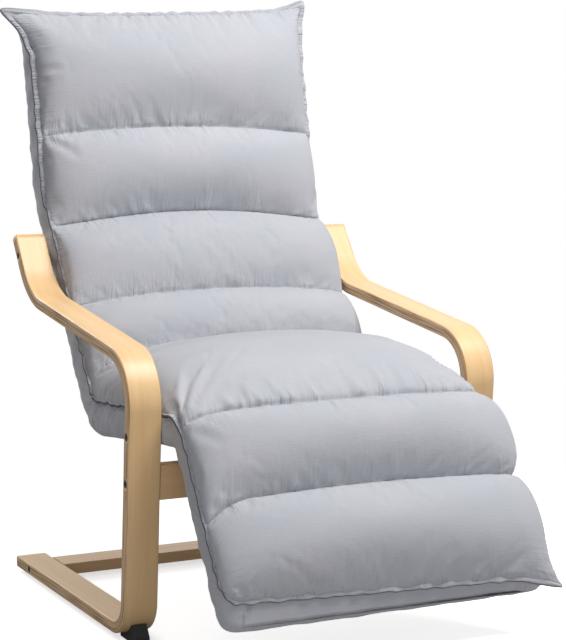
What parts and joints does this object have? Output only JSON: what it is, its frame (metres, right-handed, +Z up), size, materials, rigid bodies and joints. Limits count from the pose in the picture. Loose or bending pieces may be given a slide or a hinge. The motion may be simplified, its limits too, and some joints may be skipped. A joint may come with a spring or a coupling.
{
  "type": "reclining lounge chair",
  "caption": "Bentwood lounge chair with cantilevered side frames, a quilted cushion over a hinged steel frame, a reclining upper back and an adjustable leg rest.",
  "frame": {"origin": "on the floor under the middle of the chair's bounding box", "axes": "the chair faces -Y, X runs across it and Z is up"},
  "size_m": [0.6662, 0.903, 1.0108],
  "materials": {
    "birch_ply": "satin lacquer",
    "beech_dowel": "plain",
    "black_rubber": "matte",
    "dark_steel": "satin",
    "black_nylon": "matte",
    "painted_tube": "satin",
    "webbing": "woven",
    "zinc_steel": "zinc plated",
    "cover_cloth": "slub weave",
    "quilted_cloth": "slub weave"
  },
  "bodies": {
    "chair_frame": {"left_side_frame": "birch_ply", "right_side_frame": "birch_ply", "front_rail": "birch_ply", "rear_rail": "birch_ply", "left_front_foot": "black_rubber", "right_front_foot": "black_rubber", "rear_pads": "black_rubber", "foot_screws": "dark_steel", "rail_bolts": "dark_steel", "barrel_nuts": "dark_steel", "rail_dowels": "beech_dowel", "back_frame_bolts": "dark_steel", "seat_frame_bolts": "dark_steel", "frame_spacers": "black_nylon", "seat_frame": "painted_tube", "seat_webbing": "webbing", "lower_back_webbing": "webbing", "upper_hinge_forks": "zinc_steel", "knee_hinge_forks": "zinc_steel", "upper_hinge_rivets": "zinc_steel", "knee_hinge_rivets": "zinc_steel", "upper_hinge_pawls": "zinc_steel", "knee_hinge_pawls": "zinc_steel", "seat_cover": "cover_cloth", "upper_fold": "cover_cloth", "knee_fold": "cover_cloth", "seat_pad": "quilted_cloth", "knee_pad": "quilted_cloth", "lower_back_pad": "quilted_cloth"},
    "upper_back": {"upper_back_frame": "painted_tube", "upper_ratchet_wheels": "zinc_steel", "upper_back_webbing": "webbing", "upper_back_cover": "cover_cloth", "upper_back_pad": "quilted_cloth"},
    "leg_rest": {"leg_rest_frame": "painted_tube", "knee_ratchet_wheels": "zinc_steel", "leg_rest_webbing": "webbing", "leg_rest_cover": "cover_cloth", "leg_rest_pad": "quilted_cloth"}
  },
  "joints": [
    {"name": "upper_back_recline", "type": "hinge", "parent": "chair_frame", "child": "upper_back", "pos_m": [0, 0.36555, 0.658], "axis": [-1, 0, 0], "range_deg": [0, 25]},
    {"name": "leg_rest_lift", "type": "hinge", "parent": "chair_frame", "child": "leg_rest", "pos_m": [0, -0.24245, 0.338], "axis": [-1, 0, 0], "range_deg": [-28, 50], "deforming": ["knee_pad"]}
  ]
}
